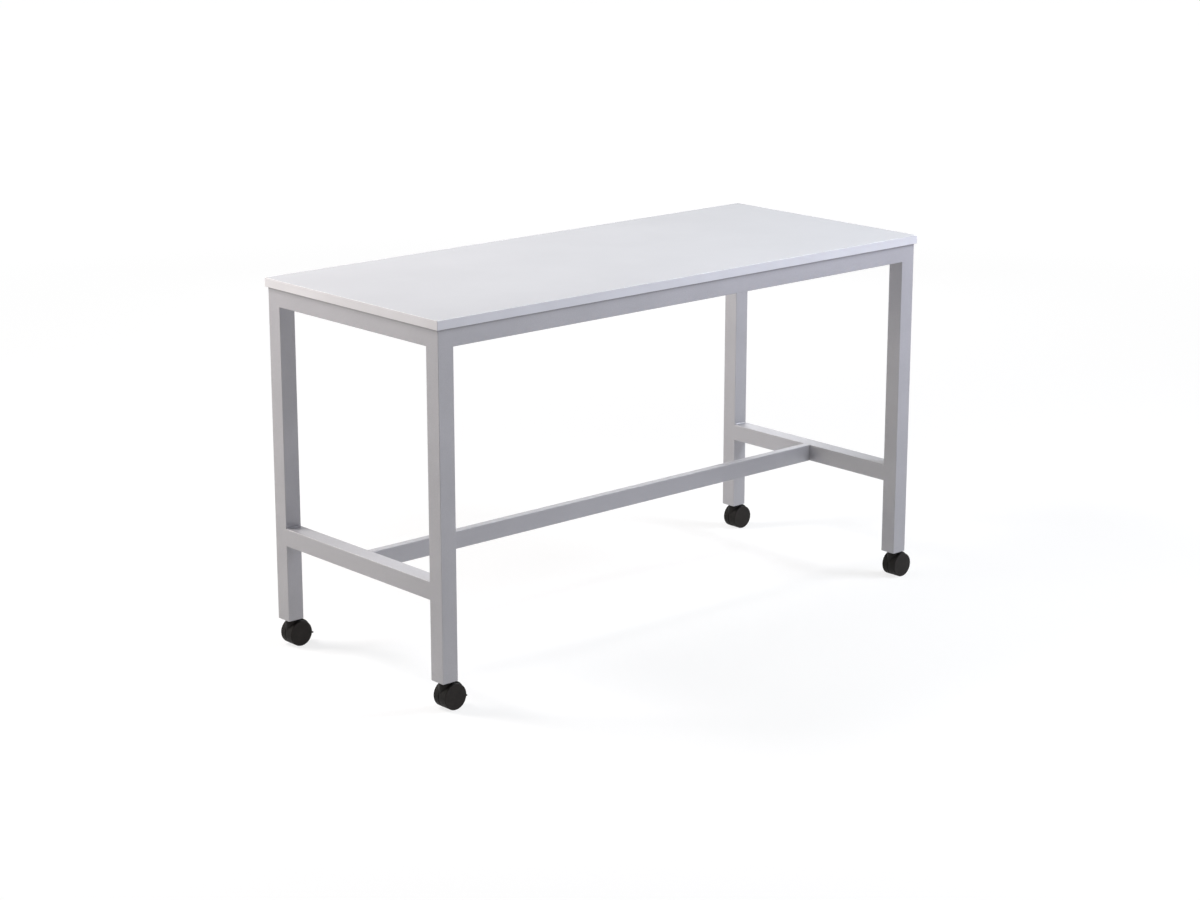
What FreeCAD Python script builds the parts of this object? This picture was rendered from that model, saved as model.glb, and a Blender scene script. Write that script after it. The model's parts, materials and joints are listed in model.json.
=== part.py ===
import FreeCAD, Part
import math
import os

# Standing-height meeting table on twin-wheel castors. Millimetres.
# +X runs along the table, +Y from the front to the back, +Z up.
# Origin: on the floor, under the middle of the table top.

V = FreeCAD.Vector
X, Y, Z = V(1, 0, 0), V(0, 1, 0), V(0, 0, 1)

# ---- table ----
table_length = 1800.0
table_depth = 750.0
top_height = 1050.0          # floor to the top's upper face
top_t = 25.0
edging_t = 2.0               # glued edge strip round the board
edging_r = 1.0               # its rounded long edges
corner_r = 0.9               # its rounded corners
overhang = 6.0               # board beyond the frame, all round

# ---- frame of square steel tube ----
tube_w = 50.0
tube_wall = 2.0
tube_r = 1.5                 # outer corner of the tube
cross_rail_z = 300.0         # floor to the underside of the cross and foot rails
foot_rail_w = 25.0
foot_rail_h = 50.0

# ---- sockets that carry the long rails ----
seat_gap = 0.3               # between a plug and the bore round it
socket_l = 40.0
socket_wall = 3.0
socket_r = 1.0
screw_in = 20.0              # rail screw, in from the rail's end
rail_screw_d = 8.0
rail_head_d = 14.0
rail_head_h = 4.4
foot_screw_d = 6.0
foot_head_d = 10.5
foot_head_h = 3.3
hex_share = 0.36             # key recess across flats, as a share of the head's diameter
hex_depth = 2.0
head_rim_share = 0.3         # straight rim of a button head, of its height
head_flat_share = 0.3        # radius of its flat crown, of its diameter
thread_gap = 0.05            # a screw in its tapped hole, on the radius
hole_gap = 0.4               # a screw in its clearance hole, on the radius
screw_tail = 3.0             # screw past its tapped wall

# ---- fixing of the top ----
tab_w = 40.0
tab_out = 26.0
tab_t = 3.0
tab_hole_in = 14.0           # hole, out from the rail
side_tab_spacing = 600.0
side_tab_count = 3
wood_screw_d = 4.6
wood_screw_l = 17.0          # into the board
wood_head_d = 9.5
wood_head_h = 2.6
pilot_gap = 0.2

# ---- castors ----
wheel_d = 72.0
wheel_w = 20.5
wheel_gap = 9.0              # between the two wheels of a castor
wheel_outer_r = 1.8          # tread rounded into the outer face
wheel_inner_r = 0.8
rim_t = 4.5
face_t = 2.5
hub_d = 15.0
rib_t = 1.6
rib_depth = 6.0
rib_count = 6
axle_d = 7.0
running_gap = 0.05           # a turning piece on its pin, on the radius
fixed_gap = 0.02             # a pin held in its hole, on the radius
end_gap = 0.4                # wheel hub from the body's hub, and axle end from its blind hole
castor_trail = 17.0          # axle behind the swivel axis
headroom = 8.0               # wheel top to the leg's end
neck_d = 32.5
neck_chamfer = 0.8
neck_gap = 0.8               # swivelling neck under the leg
saddle_gap = 1.0             # neck and hood over the treads
hood_t = 3.2
hood_w = 22.0
hood_edge_r = 2.0            # its rounded outer edges
hood_end = 32.0              # degrees about the axle, up from level, where the hood stops behind
web_gap = 0.7                # web from each wheel's rim
web_inset = 1.0              # web's edge inside the treads
web_floor = 9.0              # floor to the web's flat underside
web_core_t = 3.0             # web where it is cored out
web_rim_t = 3.5
web_rib_t = 2.0
web_rib_count = 6
body_hub_d = 18.0
thread_d = 10.0
thread_l = 24.0
collar_d = 20.0
collar_t = 3.0
pin_d = 8.0
pin_floor = 1.0              # neck left under the swivel pin
bead_d = 9.4                 # snap bead that keeps the body on the pin
bead_t = 1.2
bead_up = 1.6                # bead, up from the pin's end
pin_chamfer = 0.6
thread_chamfer = 1.0
loose_gap = 0.3              # between turning pieces that aren't a fit
insert_l = 25.0
insert_chamfer = 1.0

# ---- brake of the two left castors ----
brake_bar_d = 5.0
brake_bar_l = 28.0
brake_gap = 0.3              # bar under the rim, brake on
brake_arm = 10.0             # lever pin to bar
lever_pin_d = 4.0
lever_pin_angle = 2.0        # lever pin about the axle, up from level
lever_t = 3.2
lever_wall = 1.8             # round the lever's hole
bar_wall = 1.0               # lever round the end of its arm, past the bar
lever_side_gap = 0.35        # lever in the web's slot
slot_back = 12.0             # slot past the pin, towards the axle
slot_wall = 2.5              # web between the slot and its nearest core
window_gap = 0.5             # brake bar in its window through the web
brake_travel = 18.0          # degrees the lever turns up when it is let off
pedal_gap = 2.0              # pedal behind the wheels
pedal_l = 15.5
pedal_w = 16.0
pedal_t = 3.4
pedal_r = 3.0
pedal_drop = 12.3            # pedal's tip under the axle's height
pedal_tilt = 9.5
pedal_rib_count = 3
pedal_rib_h = 0.6
pedal_rib_pitch = 3.5

# ---- for cutters and arcs ----
past = 1.0                   # a cutter runs this far past the faces it opens
sunk = 0.5                   # and a rib this far into the walls it joins
diagonal = math.sqrt(0.5)    # half-way point of a quarter turn

# ---- derived places ----
half_l = table_length / 2
half_d = table_depth / 2
frame_x = half_l - overhang
frame_y = half_d - overhang
leg_x = frame_x - tube_w / 2
leg_y = frame_y - tube_w / 2
inner_x = frame_x - tube_w
inner_y = frame_y - tube_w
top_z0 = top_height - top_t
rail_z0 = top_z0 - tube_w
wheel_r = wheel_d / 2
axle_z = wheel_r
leg_z0 = wheel_d + headroom
face_y = wheel_gap / 2
wheel_y1 = face_y + wheel_w
web_t = wheel_gap - 2 * web_gap
web_r = wheel_r - web_inset
web_root_r = web_r - web_rim_t / 2
neck_r = neck_d / 2
neck_z1 = leg_z0 - neck_gap
saddle_r = wheel_r + saddle_gap
hood_r = saddle_r + hood_t
pin_r = pin_d / 2
pin_bore_r = pin_r + running_gap
bore_z0 = axle_z + math.sqrt(saddle_r ** 2 - max(castor_trail - pin_bore_r, 0) ** 2) + pin_floor
pin_z0 = bore_z0 + loose_gap
collar_z0 = leg_z0 - collar_t
rim_in = wheel_r - rim_t


def save(node, solids):
    if not isinstance(solids, list):
        solids = [solids]
    shape = solids[0] if len(solids) == 1 else Part.makeCompound(solids)
    assert shape.isValid(), node
    shape.exportStep(os.path.join("parts", node + ".step"))


def moved(shape, x, y, z):
    copy = shape.copy()
    copy.translate(V(x, y, z))
    return copy


def turned(shape, angle, axis=Z, about=V(0, 0, 0)):
    copy = shape.copy()
    copy.rotate(about, axis, angle)
    return copy


def box(x0, x1, y0, y1, z0, z1):
    return Part.makeBox(x1 - x0, y1 - y0, z1 - z0, V(x0, y0, z0))


def rounded(shape, axis, radius):
    """Rounds the straight edges that run along the axis."""
    if radius <= 0:
        return shape
    straight = [e for e in shape.Edges if len(e.Vertexes) == 2]
    along = [e for e in straight if abs(e.tangentAt(e.FirstParameter).dot(axis)) > 0.999]
    return shape.makeFillet(radius, along)


def one(shape):
    """The single solid of a boolean's result, with its seams merged."""
    solids = shape.removeSplitter().Solids
    assert len(solids) == 1, len(solids)
    return solids[0]


def tube(x0, x1, y0, y1, z0, z1, axis, wall, outer_r):
    """Rectangular tube that fills the given box and is open at both ends along the axis."""
    skin = rounded(box(x0, x1, y0, y1, z0, z1), axis, outer_r)
    dx, dy, dz = (-wall if axis.dot(a) else wall for a in (X, Y, Z))
    bore = rounded(box(x0 + dx, x1 - dx, y0 + dy, y1 - dy, z0 + dz, z1 - dz), axis, max(outer_r - wall, 0))
    return skin.cut(bore)


def rod(x, z, radius, y0, y1):
    """Cylinder along Y."""
    return Part.makeCylinder(radius, y1 - y0, V(x, y0, z), Y)


def link(p, rp, q, rq, thickness):
    """Plate in the XZ plane: two round ends joined by their outer tangents."""
    d = q - p
    length = d.Length
    u = V(d.x / length, 0, d.z / length)
    n = V(-u.z, 0, u.x)
    s = (rp - rq) / length
    c = math.sqrt(1 - s * s)
    up, down = u * s + n * c, u * s - n * c
    points = [p + up * rp, q + up * rq, q + down * rq, p + down * rp]
    bar = Part.Face(Part.makePolygon(points + points[:1])).extrude(Y * thickness)
    bar.translate(Y * (-thickness / 2))
    for centre, radius in ((p, rp), (q, rq)):
        bar = bar.fuse(rod(centre.x, centre.z, radius, -thickness / 2, thickness / 2))
    return bar


def hex_key(radius, depth, z0):
    corners = [V(radius * math.cos(math.radians(60 * i)), radius * math.sin(math.radians(60 * i)), z0)
               for i in range(7)]
    return Part.Face(Part.makePolygon(corners)).extrude(Z * depth)


def screw(shank_d, shank_l, head_d, head_h):
    """Button-head screw: head below z = 0, shank above it."""
    rim = head_h * head_rim_share
    flat = head_d * head_flat_share
    half_way = V(flat + (head_d / 2 - flat) * diagonal, 0, -rim - (head_h - rim) * diagonal)
    crown = Part.Arc(V(head_d / 2, 0, -rim), half_way, V(flat, 0, -head_h)).toShape()
    line = Part.makePolygon([V(flat, 0, -head_h), V(0, 0, -head_h), V(0, 0, 0), V(head_d / 2, 0, 0),
                             V(head_d / 2, 0, -rim)])
    head = Part.Face(Part.Wire([crown] + line.Edges)).revolve(V(0, 0, 0), Z, 360)
    key = hex_key(head_d * hex_share / math.sqrt(3), hex_depth, -head_h)
    return one(head.cut(key).fuse(Part.makeCylinder(shank_d / 2, shank_l)))


# ---- table top: board and four edge strips ----

def tab_places():
    """Fixing tabs: middle of the edge on the rail, and the way the tab points."""
    places = []
    for i in range(side_tab_count):
        x = (i - (side_tab_count - 1) / 2) * side_tab_spacing
        places += [(x, -inner_y, 90), (x, inner_y, -90)]
    return places + [(-inner_x, 0, 0), (inner_x, 0, 180)]


def placed(shape, place, z):
    return moved(turned(shape, place[2]), place[0], place[1], z)


board = box(-half_l + edging_t, half_l - edging_t, -half_d + edging_t, half_d - edging_t, top_z0, top_height)
pilot = Part.makeCylinder(wood_screw_d / 2 + pilot_gap, wood_screw_l + past, V(tab_hole_in, 0, 0))
board = one(board.cut(Part.makeCompound([placed(pilot, p, top_z0) for p in tab_places()])))


def edge_strip(length):
    """Edge strip along X, its outer face at y = 0 facing -Y."""
    strip = box(-length / 2, length / 2, 0, edging_t, top_z0, top_height)
    outer = [e for e in strip.Edges if e.BoundBox.YMax < 0.001 and e.BoundBox.XLength > 1]
    return strip.makeFillet(edging_r, outer)


long_strip = edge_strip(table_length)
corners = [e for e in long_strip.Edges if e.BoundBox.ZLength > top_t / 2 and e.BoundBox.YMax < 0.001]
long_strip = long_strip.makeFillet(corner_r, corners)
short_strip = edge_strip(table_depth - 2 * edging_t)

# ---- frame ----


def leg(side_x, side_y):
    """Leg with the weld metal, ground flush, that squares its corners where rails meet it."""
    cx, cy = side_x * leg_x, side_y * leg_y
    h = tube_w / 2
    shape = tube(cx - h, cx + h, cy - h, cy + h, leg_z0, top_z0, Z, tube_wall, tube_r)
    welds = []

    def weld(corner_x, corner_y, z0):
        x0, x1 = sorted((cx + corner_x * h, cx + corner_x * (h - tube_r)))
        y0, y1 = sorted((cy + corner_y * h, cy + corner_y * (h - tube_r)))
        welds.append(box(x0, x1, y0, y1, z0 + tube_r, z0 + tube_w - tube_r))

    weld(-side_x, -side_y, rail_z0)
    weld(side_x, -side_y, rail_z0)
    weld(-side_x, side_y, rail_z0)
    weld(-side_x, -side_y, cross_rail_z)
    weld(side_x, -side_y, cross_rail_z)
    bore = box(cx - h + tube_wall, cx + h - tube_wall, cy - h + tube_wall, cy + h - tube_wall, leg_z0, top_z0)
    return one(shape.fuse([w.cut(bore) for w in welds]))


def end_tube(side_x, z0):
    """Rail across one end, between its two legs."""
    x0, x1 = sorted((side_x * frame_x, side_x * inner_x))
    return tube(x0, x1, -inner_y, inner_y, z0, z0 + tube_w, Y, tube_wall, tube_r)


def end_holes(z0, wall, y, radius):
    """Holes in the underside at both ends of a long rail."""
    x = inner_x - screw_in
    hole = Part.makeCylinder(radius, wall + 2 * past, V(0, y, z0 - past))
    return Part.makeCompound([moved(hole, -x, 0, 0), moved(hole, x, 0, 0)])


def side_rail(side_y):
    y0, y1 = sorted((side_y * frame_y, side_y * inner_y))
    rail = tube(-inner_x, inner_x, y0, y1, rail_z0, top_z0, X, tube_wall, tube_r)
    return one(rail.cut(end_holes(rail_z0, tube_wall, side_y * leg_y, rail_screw_d / 2 + hole_gap)))


def foot_rail():
    h = foot_rail_w / 2
    rail = tube(-inner_x, inner_x, -h, h, cross_rail_z, cross_rail_z + foot_rail_h, X, tube_wall, tube_r)
    return one(rail.cut(end_holes(cross_rail_z, tube_wall, 0, foot_screw_d / 2 + hole_gap)))


def socket(side_x, y, width, height, z0, screw_d):
    """Short tube that stands on an end frame and fills the bore of a long rail."""
    off = tube_wall + seat_gap
    x0, x1 = sorted((side_x * inner_x, side_x * (inner_x - socket_l)))
    stub = tube(x0, x1, y - width / 2 + off, y + width / 2 - off, z0 + off, z0 + height - off, X,
                socket_wall, socket_r)
    hole = Part.makeCylinder(screw_d / 2 + thread_gap, socket_wall + 2 * past,
                             V(side_x * (inner_x - screw_in), y, z0 + off - past))
    return one(stub.cut(hole))


def rail_screws(z0, ys, shank_d, head_d, head_h):
    shape = screw(shank_d, tube_wall + seat_gap + socket_wall + screw_tail, head_d, head_h)
    return [moved(shape, s * (inner_x - screw_in), y, z0) for s in (-1, 1) for y in ys]


def fixing_tab():
    """Flat tab welded to a rail at x = 0, pointing along +X, its upper face at z = 0."""
    plate = box(0, tab_out, -tab_w / 2, tab_w / 2, -tab_t, 0)
    free = [e for e in plate.Edges if e.BoundBox.ZLength > tab_t / 2 and e.BoundBox.XMin > tab_out / 2]
    plate = plate.makeFillet(min(tab_w, tab_out) / 4, free)
    hole = Part.makeCylinder(wood_screw_d / 2 + hole_gap, tab_t + 2 * past, V(tab_hole_in, 0, -tab_t - past))
    return one(plate.cut(hole))


wood_screw = screw(wood_screw_d, tab_t + wood_screw_l, wood_head_d, wood_head_h)
wood_screw.translate(V(tab_hole_in, 0, -tab_t))

# ---- castor pieces, on the swivel axis at x = 0, y = 0, with the floor at z = 0 ----

axle_at = V(castor_trail, 0, axle_z)
angle = math.radians(lever_pin_angle)
bar_reach = rim_in - brake_gap - brake_bar_d / 2
pin_reach = math.hypot(bar_reach, brake_arm)
bar_angle = angle + math.atan2(brake_arm, bar_reach)
lever_pin_at = axle_at + V(math.cos(angle), 0, math.sin(angle)) * pin_reach
bar_at = axle_at + V(math.cos(bar_angle), 0, math.sin(bar_angle)) * bar_reach
bar_off_at = lever_pin_at + FreeCAD.Rotation(V(0, -1, 0), brake_travel).multVec(bar_at - lever_pin_at)
lever_eye_r = lever_pin_d / 2 + lever_wall
bar_eye_r = brake_bar_d / 2 + bar_wall
slot_x = lever_pin_at.x - slot_back


def leg_insert():
    """Square plug in the leg's end, tapped for the castor's stem."""
    w = tube_w - 2 * tube_wall - 2 * seat_gap
    plug = box(-w / 2, w / 2, -w / 2, w / 2, leg_z0, leg_z0 + insert_l)
    upright = [e for e in plug.Edges if e.BoundBox.ZLength > insert_l / 2]
    plug = plug.makeChamfer(insert_chamfer, upright)
    return one(plug.cut(Part.makeCylinder(thread_d / 2 + thread_gap, insert_l, V(0, 0, leg_z0))))


def turning(points):
    """Solid turned about Z from a profile of (radius, height) points."""
    corners = [V(r, 0, z) for r, z in points]
    return Part.Face(Part.makePolygon(corners + corners[:1])).revolve(V(0, 0, 0), Z, 360)


def castor_stem():
    """Thread into the leg, collar under it, and a swivel pin with a snap bead."""
    bead_z = pin_z0 + bead_up
    thread_r = thread_d / 2
    thread_z1 = leg_z0 + thread_l
    return turning([
        (0, pin_z0), (pin_r - pin_chamfer, pin_z0), (pin_r, pin_z0 + pin_chamfer), (pin_r, bead_z),
        (bead_d / 2, bead_z + bead_t / 4), (bead_d / 2, bead_z + bead_t * 3 / 4), (pin_r, bead_z + bead_t),
        (pin_r, collar_z0), (collar_d / 2, collar_z0), (collar_d / 2, leg_z0), (thread_r, leg_z0),
        (thread_r, thread_z1 - thread_chamfer), (thread_r - thread_chamfer, thread_z1), (0, thread_z1)])


def web_cores(braked):
    """Hollows moulded in both faces of the web, between its hub, its rim and radial ribs."""
    x, z = axle_at.x, axle_at.z
    reach = web_r - web_rim_t
    depth = (web_t - web_core_t) / 2
    ring = rod(x, z, reach, 0, depth).cut(rod(x, z, body_hub_d / 2 + web_rib_t, 0, depth))
    for i in range(web_rib_count):
        rib = box(x, x + web_r, 0, depth, z - web_rib_t / 2, z + web_rib_t / 2)
        ring = ring.cut(turned(rib, 360 * (i + 0.5) / web_rib_count, Y, axle_at))
    ring = ring.cut(box(x - web_r, x + web_r, 0, depth, 0, web_floor + web_rim_t))
    if braked:
        ring = ring.cut(box(slot_x - slot_wall, x + web_r, 0, depth, 0, z + web_r))
    return [moved(ring, 0, y, 0) for y in (-web_t / 2, web_t / 2 - depth)]


def hood():
    """Block swept about the axle, from the neck to behind the wheels, with its outer edges rounded."""
    half_w = hood_w / 2
    r, y = hood_r - hood_edge_r, half_w - hood_edge_r
    d = hood_edge_r * diagonal
    near, far = (Part.Arc(V(r, s * half_w, 0), V(r + d, s * (y + d), 0), V(hood_r, s * y, 0)).toShape()
                 for s in (-1, 1))
    crown = Part.makeLine(V(hood_r, -y, 0), V(hood_r, y, 0))
    inside = Part.makePolygon([V(r, half_w, 0), V(wheel_r / 2, half_w, 0), V(wheel_r / 2, -half_w, 0),
                               V(r, -half_w, 0)])
    section = Part.Face(Part.Wire([near, crown, far] + inside.Edges))
    sweep = 180 - hood_end - math.degrees(math.acos(castor_trail / saddle_r))
    shape = section.revolve(V(0, 0, 0), Y, -sweep)
    return moved(turned(shape, -hood_end, Y), axle_at.x, 0, axle_at.z)


def stem_room():
    """Bore in the neck for the swivel pin, its snap bead and the collar, each with its play."""
    bead_z0 = pin_z0 + bead_up - loose_gap
    bead_z1 = pin_z0 + bead_up + bead_t + loose_gap
    bead_r = bead_d / 2 + loose_gap
    recess_r = collar_d / 2 + loose_gap
    recess_z = collar_z0 - loose_gap
    return turning([
        (0, bore_z0), (pin_bore_r, bore_z0), (pin_bore_r, bead_z0), (bead_r, bead_z0), (bead_r, bead_z1),
        (pin_bore_r, bead_z1), (pin_bore_r, recess_z), (recess_r, recess_z), (recess_r, leg_z0), (0, leg_z0)])


def brake_room():
    """Slot for the lever, open behind, the window that its bar moves in, and the hole for its pin."""
    slot_t = lever_t + 2 * lever_side_gap
    slot = box(slot_x, lever_pin_at.x + wheel_r, -slot_t / 2, slot_t / 2,
               axle_z - wheel_r / 2, bar_at.z + bar_eye_r + window_gap)
    window_r = brake_bar_d / 2 + window_gap
    window = link(bar_at, window_r, bar_off_at, window_r, 2 * web_t)
    pin_hole = rod(lever_pin_at.x, lever_pin_at.z, lever_pin_d / 2 + fixed_gap, -web_t, web_t)
    return [slot, window, pin_hole]


def castor_body(braked):
    """Neck and hood saddled over the treads, on a disc that fills the gap between the wheels."""
    x, z = axle_at.x, axle_at.z
    half_t = web_t / 2
    neck = Part.makeCylinder(neck_r, neck_z1 - z, V(0, 0, z))
    rim = [e for e in neck.Edges if e.BoundBox.ZMin > neck_z1 - 0.001]
    neck = neck.makeChamfer(neck_chamfer, rim)
    reach = neck_r + hood_w
    tread_room = [rod(x, z, saddle_r, half_t, reach), rod(x, z, saddle_r, -reach, -half_t)]
    cover = neck.fuse(hood()).cut(tread_room + [rod(x, z, web_root_r, -web_t, web_t)])
    disc = rod(x, z, web_r, -half_t, half_t)
    disc = disc.cut(web_cores(braked) + [box(x - web_r, x + web_r, -web_t, web_t, 0, web_floor)])
    hub = rod(x, z, body_hub_d / 2, end_gap - face_y, face_y - end_gap)
    room = [stem_room(), rod(x, z, axle_d / 2 + fixed_gap, -web_t, web_t)]
    if braked:
        room += brake_room()
    return one(disc.fuse([cover, hub]).cut(room))


def wheel(side):
    """Cup wheel, open towards the web: tread and rim, closed outer face, hub with a blind bore, ribs."""
    bore = axle_d / 2 + running_gap
    back = wheel_y1 - face_t
    hub_r = hub_d / 2
    r0, r1 = wheel_inner_r, wheel_outer_r
    x0, x1 = wheel_r - r0, wheel_r - r1
    y0, y1 = face_y + r0, wheel_y1 - r1
    d0, d1 = r0 * diagonal, r1 * diagonal
    inner = Part.Arc(V(x0, face_y, 0), V(x0 + d0, y0 - d0, 0), V(wheel_r, y0, 0)).toShape()
    outer = Part.Arc(V(wheel_r, y1, 0), V(x1 + d1, y1 + d1, 0), V(x1, wheel_y1, 0)).toShape()
    tread = Part.makeLine(V(wheel_r, y0, 0), V(wheel_r, y1, 0))
    inside = Part.makePolygon([V(x1, wheel_y1, 0), V(0, wheel_y1, 0), V(0, back, 0), V(bore, back, 0),
                               V(bore, face_y, 0), V(hub_r, face_y, 0), V(hub_r, back, 0),
                               V(rim_in, back, 0), V(rim_in, face_y, 0), V(x0, face_y, 0)])
    cup = Part.Face(Part.Wire([inner, tread, outer] + inside.Edges)).revolve(V(0, 0, 0), Y, 360)
    rib = box(hub_r - sunk, rim_in + sunk, back - rib_depth, back + sunk, -rib_t / 2, rib_t / 2)
    ribs = [turned(rib, 360 * (i + 0.5) / rib_count, Y) for i in range(rib_count)]
    shape = one(cup.fuse(ribs))
    if side < 0:
        shape = turned(shape, 180)
    return moved(shape, axle_at.x, 0, axle_at.z)


def axle():
    end = wheel_y1 - face_t - end_gap
    return rod(axle_at.x, axle_at.z, axle_d / 2, -end, end)


def brake_lever():
    """Lever in the web's slot: pedal behind the wheels, brake bar inside both rims."""
    root = V(axle_at.x + wheel_r + pedal_gap, 0, axle_at.z - pedal_drop)
    pad = box(0, pedal_l, -pedal_w / 2, pedal_w / 2, -pedal_t / 2, pedal_t / 2)
    tip = [e for e in pad.Edges if e.BoundBox.ZLength > pedal_t / 2]
    pad = pad.makeFillet(pedal_r, tip)
    rib_y = pedal_w / 2 - pedal_r
    for i in range(pedal_rib_count):
        at = pedal_l - pedal_r - pedal_rib_pitch * i
        pad = pad.fuse(Part.makeCylinder(pedal_rib_h, 2 * rib_y, V(at, -rib_y, pedal_t / 2), Y))
    pad = turned(pad, pedal_tilt, Y, V(pedal_l, 0, 0))
    pad.translate(root)
    join = root + V(pedal_t, 0, (pedal_l - pedal_t) * math.sin(math.radians(pedal_tilt)))
    lever = link(lever_pin_at, lever_eye_r, join, pedal_t / 2, lever_t)
    lever = lever.fuse([link(lever_pin_at, lever_eye_r, bar_at, bar_eye_r, lever_t),
                        rod(bar_at.x, bar_at.z, brake_bar_d / 2, -brake_bar_l / 2, brake_bar_l / 2), pad])
    hole = rod(lever_pin_at.x, lever_pin_at.z, lever_pin_d / 2 + running_gap, -web_t, web_t)
    return one(lever.cut(hole))


def lever_pin():
    return rod(lever_pin_at.x, lever_pin_at.z, lever_pin_d / 2, -web_t / 2, web_t / 2)


# ---- write every node ----

os.makedirs("parts", exist_ok=True)

save("top_board", board)
save("edge_strip_front", moved(long_strip, 0, -half_d, 0))
save("edge_strip_back", moved(turned(long_strip, 180), 0, half_d, 0))
save("edge_strip_left", moved(turned(short_strip, -90), -half_l, 0, 0))
save("edge_strip_right", moved(turned(short_strip, 90), half_l, 0, 0))

for name_x, side_x in (("left", -1), ("right", 1)):
    save("end_rail_" + name_x, end_tube(side_x, rail_z0))
    save("cross_rail_" + name_x, end_tube(side_x, cross_rail_z))
for name_y, side_y in (("front", -1), ("back", 1)):
    save("side_rail_" + name_y, side_rail(side_y))
save("foot_rail", foot_rail())
save("rail_sockets", [socket(sx, sy * leg_y, tube_w, tube_w, rail_z0, rail_screw_d)
                      for sx in (-1, 1) for sy in (-1, 1)])
save("foot_rail_sockets", [socket(sx, 0, foot_rail_w, foot_rail_h, cross_rail_z, foot_screw_d)
                           for sx in (-1, 1)])
save("rail_screws", rail_screws(rail_z0, (-leg_y, leg_y), rail_screw_d, rail_head_d, rail_head_h))
save("foot_rail_screws", rail_screws(cross_rail_z, (0,), foot_screw_d, foot_head_d, foot_head_h))
save("fixing_tabs", [placed(fixing_tab(), p, top_z0) for p in tab_places()])
save("top_screws", [placed(wood_screw, p, top_z0) for p in tab_places()])

for name_y, side_y in (("front", -1), ("back", 1)):
    for name_x, side_x in (("left", -1), ("right", 1)):
        corner = name_y + "_" + name_x
        braked = side_x < 0
        save("leg_" + corner, leg(side_x, side_y))
        pieces = {"leg_insert": leg_insert(), "castor_stem": castor_stem(), "axle": axle(),
                  "castor_body": castor_body(braked), "wheel_a": wheel(-1), "wheel_b": wheel(1)}
        if braked:
            pieces["brake_lever"] = brake_lever()
            pieces["lever_pin"] = lever_pin()
        for name, shape in pieces.items():
            save(name + "_" + corner, moved(shape, side_x * leg_x, side_y * leg_y, 0))
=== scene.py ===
import bpy
import bmesh
import json
import math
import random
from mathutils import Matrix, Vector

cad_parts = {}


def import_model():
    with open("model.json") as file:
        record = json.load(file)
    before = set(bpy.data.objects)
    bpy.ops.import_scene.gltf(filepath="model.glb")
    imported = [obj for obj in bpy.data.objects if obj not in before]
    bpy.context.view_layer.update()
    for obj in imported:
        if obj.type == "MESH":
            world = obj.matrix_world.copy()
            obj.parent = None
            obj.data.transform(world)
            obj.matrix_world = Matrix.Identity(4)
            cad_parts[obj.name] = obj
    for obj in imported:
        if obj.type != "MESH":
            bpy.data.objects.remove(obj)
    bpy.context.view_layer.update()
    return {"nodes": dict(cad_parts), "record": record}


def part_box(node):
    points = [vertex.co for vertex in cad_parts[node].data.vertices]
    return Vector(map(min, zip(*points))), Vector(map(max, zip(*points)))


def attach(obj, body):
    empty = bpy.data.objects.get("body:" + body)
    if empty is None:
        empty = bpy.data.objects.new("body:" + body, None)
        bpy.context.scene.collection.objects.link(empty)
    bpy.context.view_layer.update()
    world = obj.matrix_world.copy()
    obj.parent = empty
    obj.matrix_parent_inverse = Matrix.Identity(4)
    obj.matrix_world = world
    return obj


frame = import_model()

# Standing meeting table. Metres; +X along the table, +Y to the back, +Z up.
scene = bpy.context.scene

# ---------------------------------------------------------------- materials

# Each pair is where a mark starts and where it is full, or where it is full and where it ends.
GLUE_LINE = (0.0005, 0.0002)        # inside the board's edge
PAINTED_SHADE_UNDER_TOP = (0.0070, 0.0036)   # the frame's painted shade, in a strip below the board
PARTING_LINE = (0.003, 0.007)       # half the mould line's width, as a share of the piece's depth
TREAD_FROM = (0.975, 0.992)         # the wheel's tread, as a share of its radius
PLASTIC_GLOSS = 0.16


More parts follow.
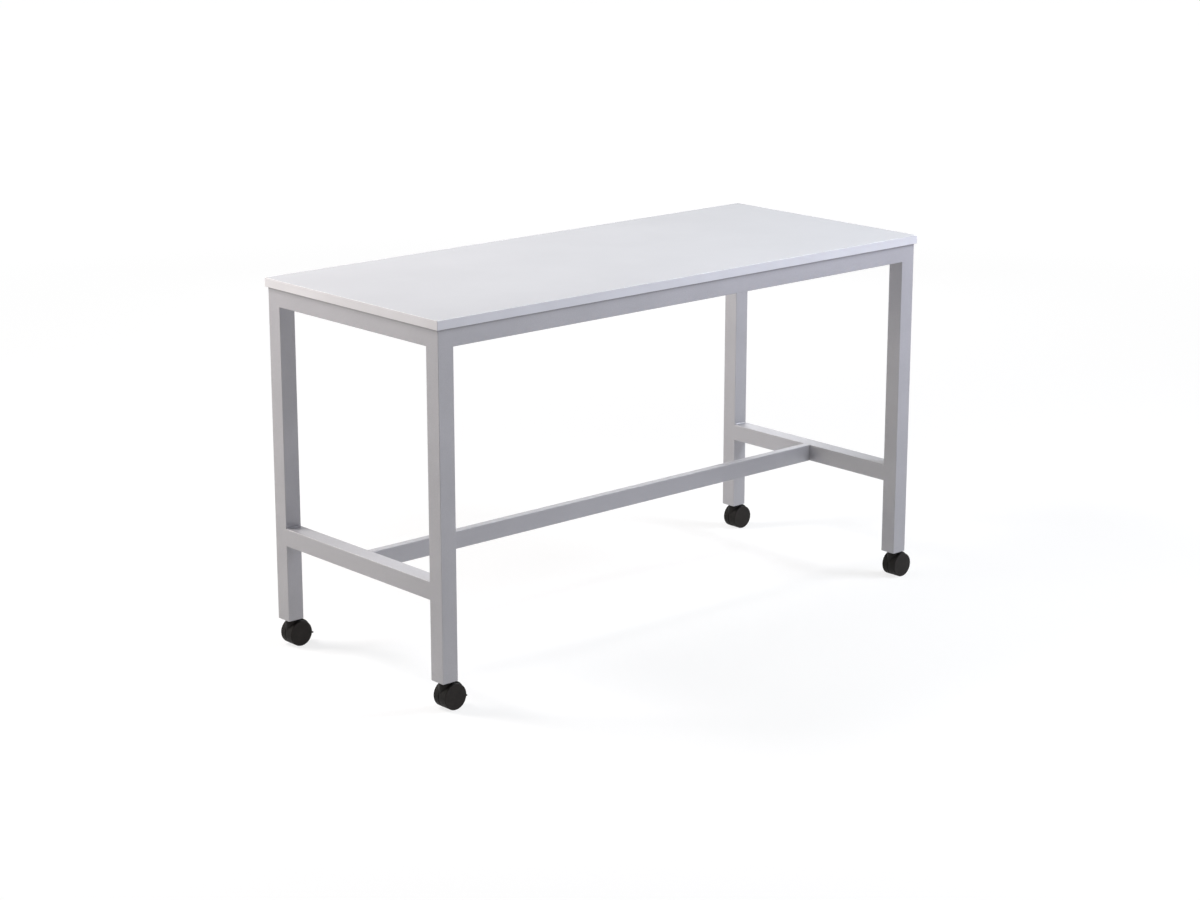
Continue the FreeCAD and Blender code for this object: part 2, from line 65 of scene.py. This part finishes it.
class Shader:
    """A material's node tree. Its calls add nodes and hand back the socket that the nodes put out."""

    def __init__(self, name):
        self.material = bpy.data.materials.new(name)
        self.material.use_nodes = True
        self.tree = self.material.node_tree
        self.tree.nodes.clear()
        self.bsdf = self.add("ShaderNodeBsdfPrincipled")
        self.add("ShaderNodeOutputMaterial", Surface=self.bsdf.outputs["BSDF"])
        place = self.add("ShaderNodeTexCoord")
        self.metres, self.share = place.outputs["Object"], place.outputs["Generated"]
        self.normal = None

    def put(self, socket, value):
        """Link a socket, or set a plain value."""
        if isinstance(value, bpy.types.NodeSocket):
            self.tree.links.new(value, socket)
        else:
            socket.default_value = value

    def add(self, kind, *inputs, **values):
        """New node. Its inputs are sockets or values, given in order or by name, after its settings."""
        node = self.tree.nodes.new(kind)
        for key, value in values.items():
            if key in node.inputs:
                self.put(node.inputs[key], value)
            else:
                setattr(node, key, value)
        for i, value in enumerate(inputs):
            self.put(node.inputs[i], value)
        return node

    def maths(self, operation, *inputs):
        return self.add("ShaderNodeMath", *inputs, operation=operation).outputs["Value"]

    def vector(self, operation, *inputs):
        out = "Value" if operation == "LENGTH" else "Vector"
        return self.add("ShaderNodeVectorMath", *inputs, operation=operation).outputs[out]

    def axis(self, place, name):
        return self.add("ShaderNodeSeparateXYZ", place).outputs[name]

    def noise(self, scale, detail=2.0, rough=0.5, stretch=None):
        place = self.metres
        if stretch:
            place = self.add("ShaderNodeMapping", Vector=place, Scale=stretch).outputs["Vector"]
        node = self.add("ShaderNodeTexNoise", Vector=place, Scale=scale, Detail=detail, Roughness=rough)
        return node.outputs["Fac"]

    def cells(self, scale):
        return self.add("ShaderNodeTexVoronoi", Vector=self.metres, Scale=scale).outputs["Color"]

    def ramp(self, source, *stops):
        """Colours between two stops, each a place from 0 to 1 and a linear colour."""
        node = self.add("ShaderNodeValToRGB", Fac=source)
        for point, (at, colour) in zip(node.color_ramp.elements, stops):
            point.position = at
            point.color = (*colour, 1)
        return node.outputs["Color"]

    def tones(self, source, low, high):
        return self.ramp(source, (0.3, shade(low)), (0.7, shade(high)))

    def span(self, source, low, high, start=0.0, end=1.0):
        """low to high, as the source goes from start to end."""
        node = self.add("ShaderNodeMapRange", source)
        node.inputs["From Min"].default_value = start
        node.inputs["From Max"].default_value = end
        node.inputs["To Min"].default_value = low
        node.inputs["To Max"].default_value = high
        return node.outputs["Result"]

    def mix(self, factor, a, b, blend="MIX"):
        node = self.add("ShaderNodeMix", data_type="RGBA", blend_type=blend, Factor=factor, A=a, B=b)
        return node.outputs["Result"]

    def bump(self, height, strength, distance):
        """Adds to the bumps before it."""
        node = self.add("ShaderNodeBump", Height=height, Strength=strength, Distance=distance)
        if self.normal:
            self.put(node.inputs["Normal"], self.normal)
        self.normal = node.outputs["Normal"]
        self.put(self.bsdf.inputs["Normal"], self.normal)

    def finish(self, colour, rough, gloss=None, metallic=None):
        for name, value in (("Base Color", colour), ("Roughness", rough), ("Specular IOR Level", gloss),
                            ("Metallic", metallic)):
            if value is not None:
                self.put(self.bsdf.inputs[name], value)
        return self.material


def shade(value):
    """sRGB 0..255 to linear."""
    out = []
    for v in value:
        v /= 255
        out.append(v / 12.92 if v <= 0.04045 else ((v + 0.055) / 1.055) ** 2.4)
    return tuple(out)


def laminate():
    """White decor paper under a fine matt pearl texture, with the glue line of the edging all round."""
    s = Shader("laminate_white")
    paper = s.tones(s.noise(3.0, 3.0), (195, 196, 199), (199, 200, 203))
    near = []
    for axis, limit in zip("XY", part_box("top_board")[1]):
        off = s.maths("ABSOLUTE", s.axis(s.metres, axis))
        near.append(s.span(off, 0.0, 1.0, *(limit - inside for inside in GLUE_LINE)))
    colour = s.mix(s.maths("MAXIMUM", *near), paper, (*shade((150, 147, 142)), 1))
    s.bump(s.noise(1400.0, 3.0, 0.6), 0.12, 0.0002)
    return s.finish(colour, s.span(s.noise(30.0, 3.0), 0.56, 0.66), gloss=0.14)


def edging():
    """Extruded plastic strip, with fine lines along its length."""
    s = Shader("edging_white")
    colour = s.tones(s.noise(8.0, 2.0), (226, 225, 228), (231, 230, 233))
    s.bump(s.noise(900.0, 2.0, 0.5, stretch=(0.03, 0.03, 1.0)), 0.08, 0.0002)
    return s.finish(colour, s.span(s.noise(60.0, 3.0), 0.32, 0.46))


def powder_coat():
    """Silver paint with fine flake and orange peel. A patchy darker strip right under the top is painted
    shade: the shadow of the board's overhang, put into the paint's colour."""
    s = Shader("powder_coat_silver")
    paint = s.tones(s.noise(6.0, 3.0), (171, 170, 173), (176, 175, 178))
    flake = s.ramp(s.cells(1800.0), (0.35, (0.93, 0.93, 0.93)), (0.95, (1.12, 1.12, 1.12)))
    paint = s.mix(1.0, paint, flake, blend="MULTIPLY")
    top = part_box("side_rail_front")[1][2]
    # Painted shade: the paint darkens in a patchy strip just under the board, where the overhang's shadow
    # falls.
    painted_shade_strip = s.span(s.axis(s.metres, "Z"), 0.0, 1.0, *(top - below for below in PAINTED_SHADE_UNDER_TOP))
    patchy = s.span(s.noise(40.0, 3.0), 0.18, 0.38)
    colour = s.mix(s.maths("MULTIPLY", painted_shade_strip, patchy), paint, (*shade((70, 68, 66)), 1))
    s.bump(s.noise(420.0, 2.0, 0.5), 0.12, 0.0004)
    s.bump(s.noise(2600.0, 2.0, 0.5), 0.10, 0.0001)
    return s.finish(colour, s.span(s.noise(45.0, 3.0), 0.38, 0.50), metallic=0.35)


def zinc(name, low, high, rough_lo, rough_hi):
    """Zinc plating with its crystal cells."""
    s = Shader(name)
    colour = s.ramp(s.cells(700.0), (0.2, low), (0.8, high))
    s.bump(s.noise(1500.0, 3.0, 0.6), 0.15, 0.0001)
    return s.finish(colour, s.span(s.noise(200.0, 3.0), rough_lo, rough_hi), metallic=1.0)


def moulded(name, low, high, rough_lo, rough_hi):
    """Dark plastic with a spark-eroded texture and the line where the two mould halves met."""
    s = Shader(name)
    colour = s.tones(s.noise(60.0, 4.0, 0.6), low, high)
    s.bump(s.noise(1800.0, 2.0, 0.6), 0.25, 0.0002)
    off = s.maths("ABSOLUTE", s.maths("SUBTRACT", s.axis(s.share, "Y"), 0.5))
    s.bump(s.span(off, 1.0, 0.0, *PARTING_LINE), 0.5, 0.00015)
    return s.finish(colour, s.span(s.noise(150.0, 3.0), rough_lo, rough_hi), gloss=PLASTIC_GLOSS)


def wheel_plastic():
    """Dark plastic faces; the tread is rougher and scuffed by the floor."""
    s = Shader("wheel_black")
    off = s.vector("MULTIPLY", s.vector("SUBTRACT", s.share, (0.5, 0.5, 0.5)), (2.0, 0.0, 2.0))
    tread = s.span(s.vector("LENGTH", off), 0.0, 1.0, *TREAD_FROM)
    face = s.tones(s.noise(60.0, 4.0, 0.6), (34, 31, 29), (41, 38, 35))
    worn = s.ramp(s.noise(260.0, 5.0, 0.7, stretch=(1.0, 0.35, 1.0)),
                  (0.35, shade((17, 16, 15))), (0.75, shade((30, 27, 25))))
    s.bump(s.noise(1400.0, 2.0, 0.6), 0.25, 0.0002)
    scuff = s.noise(500.0, 4.0, 0.7, stretch=(1.0, 0.3, 1.0))
    s.bump(s.maths("MULTIPLY", scuff, tread), 0.35, 0.0003)
    smooth = s.span(s.noise(150.0, 3.0), 0.48, 0.62)
    rough = s.maths("MULTIPLY_ADD", tread, 0.08, smooth)
    return s.finish(s.mix(tread, face, worn), rough, gloss=PLASTIC_GLOSS)


finishes = {
    "board": laminate(),
    "edging": edging(),
    "frame_paint": powder_coat(),
    "zinc": zinc("zinc_bright", (0.50, 0.50, 0.48), (0.66, 0.66, 0.64), 0.26, 0.40),
    "insert": zinc("zinc_dull", (0.38, 0.38, 0.36), (0.52, 0.52, 0.50), 0.42, 0.56),
    "castor_plastic": moulded("castor_black", (20, 18, 17), (26, 23, 21), 0.48, 0.60),
    "wheel": wheel_plastic(),
    "lever_plastic": moulded("lever_black", (22, 20, 19), (28, 25, 23), 0.46, 0.58),
}
for part in frame["record"]["subparts"]:
    slots = frame["nodes"][part["node"]].data.materials
    slots.clear()
    slots.append(finishes[part["material_slot"]])

# ---------------------------------------------------------------- weld beads

RING_STEP = 0.0005              # between the rings of points along a bead
ARC = 6                         # faces across a bead
SUNK = 0.0002                   # how far a bead's edges lie under the tubes' faces
RIPPLE_PITCH, RIPPLE = 0.0021, 0.06
SWING, KEPT = 0.012, 0.97       # the width's slow wander: a step's most, and what it keeps of the last
FRAME_BEAD, TAB_BEAD = 0.0036, 0.0026
FRAME_INSET = 0.003             # a bead stops this far inside the rail's sides, clear of their rounded corners
TAB_HALF = 0.017
TABS_AT = (-0.6, 0.0, 0.6)      # the tabs' places along the side rails


def bead(shape, start, end, out_a, out_b, size, dice):
    """Rippled fillet weld along a corner, between faces that run off along out_a and out_b."""
    start, end, out_a, out_b = (Vector(v) for v in (start, end, out_a, out_b))
    along = end - start
    length = along.length
    along.normalize()
    steps = int(length / RING_STEP)
    rings = []
    wobble = 0.0
    for i in range(steps + 1):
        s = length * i / steps
        wobble = KEPT * wobble + dice.uniform(-SWING, SWING)
        rise = min(s, length - s) / size
        taper = math.sqrt(max(1 - (1 - min(rise, 1)) ** 2, 0.04))
        at = start + along * s
        ring = [shape.verts.new(at - (out_a + out_b) * SUNK)]
        for k in range(ARC + 1):
            t = k / ARC
            bow = (2 * t - 1) ** 2
            ripple = RIPPLE * (1 - bow) * math.cos(2 * math.pi * (s / RIPPLE_PITCH + 0.35 * bow))
            reach = size * taper * (1 + wobble + ripple)
            flat = out_a * (1 - t) + out_b * t
            full = out_a * math.cos(t * math.pi / 2) + out_b * math.sin(t * math.pi / 2)
            point = at + (flat * 0.6 + full * 0.4) * reach
            if k == 0:
                point -= out_b * SUNK
            if k == ARC:
                point -= out_a * SUNK
            ring.append(shape.verts.new(point))
        rings.append(ring)
    for a, b in zip(rings, rings[1:]):
        for k in range(len(a)):
            j = (k + 1) % len(a)
            shape.faces.new((a[k], a[j], b[j], b[k]))
    shape.faces.new(rings[0][::-1])
    shape.faces.new(rings[-1])


def weld_beads():
    """Where the cross and end rails meet the legs, and where the tabs meet the rails."""
    dice = random.Random(7)
    shape = bmesh.new()
    for side in ("left", "right"):
        for rail, edges in (("cross_rail_" + side, (0, 1)), ("end_rail_" + side, (0,))):
            low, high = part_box(rail)
            for y, way in ((low[1], 1), (high[1], -1)):
                for edge in edges:
                    z = (low, high)[edge][2]
                    up = 1 if edge else -1
                    a, b = (low[0] + FRAME_INSET, y, z), (high[0] - FRAME_INSET, y, z)
                    bead(shape, a, b, (0, way, 0), (0, 0, up), FRAME_BEAD, dice)
    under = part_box("fixing_tabs")[0][2]
    for rail, corner, way in (("side_rail_front", 1, 1), ("side_rail_back", 0, -1)):
        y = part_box(rail)[corner][1]
        for x in TABS_AT:
            a, b = (x - TAB_HALF, y, under), (x + TAB_HALF, y, under)
            bead(shape, a, b, (0, way, 0), (0, 0, -1), TAB_BEAD, dice)
    for rail, corner, way in (("end_rail_left", 1, 1), ("end_rail_right", 0, -1)):
        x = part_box(rail)[corner][0]
        a, b = (x, -TAB_HALF, under), (x, TAB_HALF, under)
        bead(shape, a, b, (way, 0, 0), (0, 0, -1), TAB_BEAD, dice)
    bmesh.ops.recalc_face_normals(shape, faces=shape.faces)
    mesh = bpy.data.meshes.new("weld_beads")
    shape.to_mesh(mesh)
    shape.free()
    mesh.shade_smooth()
    obj = bpy.data.objects.new("weld_beads", mesh)
    scene.collection.objects.link(obj)
    mesh.materials.append(finishes["frame_paint"])
    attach(obj, "table")


weld_beads()

# ---------------------------------------------------------------- floor, light, camera

FLOOR_HALF = 30.0
FLOOR_DROP = 0.0004                 # the floor lies this far under the wheels
FLOOR_GREY = 0.25                   # the share of lamplight, and so of the table's shadow, in the backdrop
GLOW = (0.785, 1.0)                 # the backdrop's own light, near the table and far from it
GLOW_FROM = (2.0, 7.0)              # how near and how far that is
AMBIENT = 0.02
WHITE = (1, 1, 1, 1)

# Each lamp's name, place, width and height, watts and colour. Levels and colours were fitted to the
# brightness of the table's faces in the photograph, and then rounded.
LAMPS_AIM = (0, 0, 0.7)
LAMPS = (
    ("above", (0, 0, 4.8), (5.0, 3.5), 18, (1.0, 0.90, 0.62)),
    ("left_high", (-2.2, 2.0, 3.8), (1.2, 1.0), 136, (1.0, 0.961, 0.975)),
    ("left_mid", (-2.8, 2.5, 1.7), (1.6, 1.0), 37, (1.0, 0.935, 0.75)),
    ("left_low", (-2.8, 2.5, 1.0), (1.8, 1.6), 3.3, (0.61, 0.51, 1.0)),
    ("right_high", (2.2, -2.0, 3.8), (1.2, 1.0), 115, (0.891, 0.939, 1.0)),
    ("right_front", (1.2, -3.2, 2.6), (1.6, 1.2), 31, (0.82, 0.85, 1.0)),
    ("right_low", (2.8, -2.5, 1.0), (1.8, 1.6), 8.8, (0.67, 0.66, 1.0)),
    ("back_low", (3.2, 3.6, 1.7), (2.4, 1.4), 22, (0.95, 0.96, 1.0)),
)

# The photograph's camera, fitted to the table's edges.
CAMERA_AT = (-4.98693, -5.55425, 2.47500)
YAW, PITCH, ROLL = math.radians(-41.828), math.radians(14.957), math.radians(0.034)
LENS = 80.491


def backdrop_rays(tree):
    """1 for rays from the camera, off gloss or through glass, which see the white backdrop. 0 for others."""
    path = tree.nodes.new("ShaderNodeLightPath")
    seen = path.outputs["Is Camera Ray"]
    for ray in ("Is Glossy Ray", "Is Transmission Ray"):
        either = tree.nodes.new("ShaderNodeMath")
        either.operation = "MAXIMUM"
        tree.links.new(seen, either.inputs[0])
        tree.links.new(path.outputs[ray], either.inputs[1])
        seen = either.outputs[0]
    return seen


def floor():
    """Plain floor. Where the backdrop shows, lamplight and glow together come to about white and little more,
    so that glare eats no outline. To all other rays it is a pale floor."""
    mesh = bpy.data.meshes.new("studio_floor")
    r = FLOOR_HALF
    mesh.from_pydata([(-r, -r, 0), (r, -r, 0), (r, r, 0), (-r, r, 0)], [], [(0, 1, 2, 3)])
    obj = bpy.data.objects.new("studio_floor", mesh)
    scene.collection.objects.link(obj)
    obj.location.z = -FLOOR_DROP
    s = Shader("floor_white")
    seen = backdrop_rays(s.tree)
    pale = s.ramp(s.noise(2.0, 2.0), (0.3, (0.80, 0.80, 0.80)), (0.7, (0.81, 0.81, 0.81)))
    colour = s.mix(seen, pale, (FLOOR_GREY, FLOOR_GREY, FLOOR_GREY, 1))
    level = s.span(s.vector("LENGTH", s.metres), *GLOW, *GLOW_FROM)
    s.put(s.bsdf.inputs["Emission Color"], WHITE)
    s.put(s.bsdf.inputs["Emission Strength"], s.maths("MULTIPLY", seen, level))
    mesh.materials.append(s.finish(colour, 0.9, gloss=0.0))


def world():
    """White where the backdrop shows; a faint ambient level for everything else."""
    w = bpy.data.worlds.new("studio")
    scene.world = w
    w.use_nodes = True
    tree = w.node_tree
    tree.nodes.clear()
    out = tree.nodes.new("ShaderNodeOutputWorld")
    mix = tree.nodes.new("ShaderNodeMixShader")
    tree.links.new(backdrop_rays(tree), mix.inputs["Fac"])
    for i, strength in enumerate((AMBIENT, 1.0)):
        background = tree.nodes.new("ShaderNodeBackground")
        background.inputs["Color"].default_value = WHITE
        background.inputs["Strength"].default_value = strength
        tree.links.new(background.outputs[0], mix.inputs[i + 1])
    tree.links.new(mix.outputs[0], out.inputs["Surface"])


def area(name, at, size, watts, colour):
    data = bpy.data.lights.new(name, "AREA")
    data.shape = "RECTANGLE"
    data.size, data.size_y = size
    data.energy = watts
    data.color = colour
    obj = bpy.data.objects.new(name, data)
    scene.collection.objects.link(obj)
    obj.location = at
    obj.rotation_euler = (Vector(LAMPS_AIM) - Vector(at)).to_track_quat("-Z", "Y").to_euler()
    obj.visible_camera = False


def camera():
    data = bpy.data.cameras.new("camera")
    data.sensor_fit = "HORIZONTAL"
    data.sensor_width = 36.0
    data.lens = LENS
    data.clip_end = 100
    obj = bpy.data.objects.new("camera", data)
    scene.collection.objects.link(obj)
    back = Vector((math.sin(YAW) * math.cos(PITCH), -math.cos(YAW) * math.cos(PITCH), math.sin(PITCH)))
    right = Vector((math.cos(YAW), math.sin(YAW), 0))
    up = back.cross(right)
    turn = Matrix((right, up, back)).transposed().to_4x4() @ Matrix.Rotation(ROLL, 4, "Z")
    obj.matrix_world = Matrix.Translation(CAMERA_AT) @ turn
    scene.camera = obj


floor()
world()
for lamp in LAMPS:
    area(*lamp)
camera()
scene.view_settings.view_transform = "Standard"
